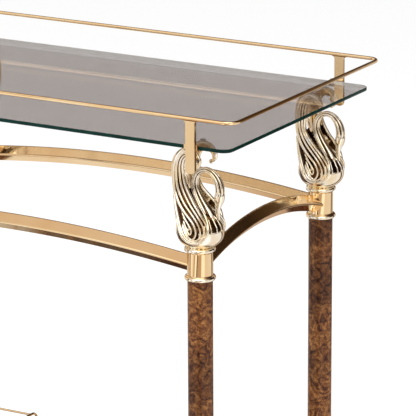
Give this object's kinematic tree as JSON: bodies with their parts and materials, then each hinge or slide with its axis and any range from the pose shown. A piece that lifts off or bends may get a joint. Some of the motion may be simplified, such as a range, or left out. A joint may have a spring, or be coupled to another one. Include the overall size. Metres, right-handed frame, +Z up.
{
  "type": "bar cart",
  "caption": "Rolling bar cart with smoked glass shelves, burl columns topped by cast swans, arched brass stretchers, a gallery rail, a bottle rack and swivel casters.",
  "frame": {"origin": "on the floor under the middle of the cart", "axes": "+X along the cart to its right end, away from the bottle rack; -Y is the front; +Z is up"},
  "size_m": [0.728, 0.4206, 0.79],
  "materials": {
    "polished_brass": "polished, lacquered",
    "cast_gold": "polished pale gold casting",
    "burl": "high-gloss lacquered burl veneer",
    "smoked_glass": "smoked, with polished green edges",
    "clear_pads": "soft clear elastomer",
    "steel": "zinc plated",
    "tyre": "smooth black rubber",
    "wheel": "polished"
  },
  "bodies": {
    "frame": {"caster_stems": "polished_brass", "collar_rings": "polished_brass", "column_back_left": "burl", "column_back_right": "burl", "column_front_left": "burl", "column_front_right": "burl", "gallery_post_back_left": "polished_brass", "gallery_post_back_right": "polished_brass", "gallery_post_front_left": "polished_brass", "gallery_post_front_right": "polished_brass", "gallery_rail": "polished_brass", "glass_bumpers": "clear_pads", "glass_clips": "polished_brass", "lower_collar_back_left": "polished_brass", "lower_collar_back_right": "polished_brass", "lower_collar_front_left": "polished_brass", "lower_collar_front_right": "polished_brass", "lower_glass": "smoked_glass", "lower_stretcher_back": "polished_brass", "lower_stretcher_front": "polished_brass", "lower_stretcher_left": "polished_brass", "lower_stretcher_right": "polished_brass", "post_pins": "steel", "rack_crossbars": "polished_brass", "rack_dividers": "polished_brass", "rack_frame_inner": "polished_brass", "rack_frame_outer": "polished_brass", "rack_rails": "polished_brass", "shelf_pads": "clear_pads", "swan_back_left": "cast_gold", "swan_back_right": "cast_gold", "swan_front_left": "cast_gold", "swan_front_right": "cast_gold", "tie_rods": "steel", "top_glass": "smoked_glass", "upper_collar_back_left": "polished_brass", "upper_collar_back_right": "polished_brass", "upper_collar_front_left": "polished_brass", "upper_collar_front_right": "polished_brass", "upper_stretcher_back": "polished_brass", "upper_stretcher_front": "polished_brass", "upper_stretcher_left": "polished_brass", "upper_stretcher_right": "polished_brass"},
    "caster_front_left": {"caster_fork_front_left": "polished_brass", "caster_axle_front_left": "polished_brass"},
    "wheel_front_left": {"caster_wheel_front_left": "wheel", "caster_tyre_front_left": "tyre"},
    "caster_front_right": {"caster_fork_front_right": "polished_brass", "caster_axle_front_right": "polished_brass"},
    "wheel_front_right": {"caster_wheel_front_right": "wheel", "caster_tyre_front_right": "tyre"},
    "caster_back_left": {"caster_fork_back_left": "polished_brass", "caster_axle_back_left": "polished_brass"},
    "wheel_back_left": {"caster_wheel_back_left": "wheel", "caster_tyre_back_left": "tyre"},
    "caster_back_right": {"caster_fork_back_right": "polished_brass", "caster_axle_back_right": "polished_brass"},
    "wheel_back_right": {"caster_wheel_back_right": "wheel", "caster_tyre_back_right": "tyre"}
  },
  "joints": [
    {"name": "swivel_front_left", "type": "hinge", "parent": "frame", "child": "caster_front_left", "pos_m": [-0.29, -0.17, 0.056], "axis": [0, 0, 1], "continuous": true},
    {"name": "swivel_front_right", "type": "hinge", "parent": "frame", "child": "caster_front_right", "pos_m": [0.29, -0.17, 0.056], "axis": [0, 0, 1], "continuous": true},
    {"name": "swivel_back_left", "type": "hinge", "parent": "frame", "child": "caster_back_left", "pos_m": [-0.29, 0.17, 0.056], "axis": [0, 0, 1], "continuous": true},
    {"name": "swivel_back_right", "type": "hinge", "parent": "frame", "child": "caster_back_right", "pos_m": [0.29, 0.17, 0.056], "axis": [0, 0, 1], "continuous": true},
    {"name": "spin_front_left", "type": "hinge", "parent": "caster_front_left", "child": "wheel_front_left", "pos_m": [-0.31, -0.17, 0.025], "axis": [0, 1, 0], "continuous": true},
    {"name": "spin_front_right", "type": "hinge", "parent": "caster_front_right", "child": "wheel_front_right", "pos_m": [0.27, -0.17, 0.025], "axis": [0, 1, 0], "continuous": true},
    {"name": "spin_back_left", "type": "hinge", "parent": "caster_back_left", "child": "wheel_back_left", "pos_m": [-0.31, 0.17, 0.025], "axis": [0, 1, 0], "continuous": true},
    {"name": "spin_back_right", "type": "hinge", "parent": "caster_back_right", "child": "wheel_back_right", "pos_m": [0.27, 0.17, 0.025], "axis": [0, 1, 0], "continuous": true}
  ]
}
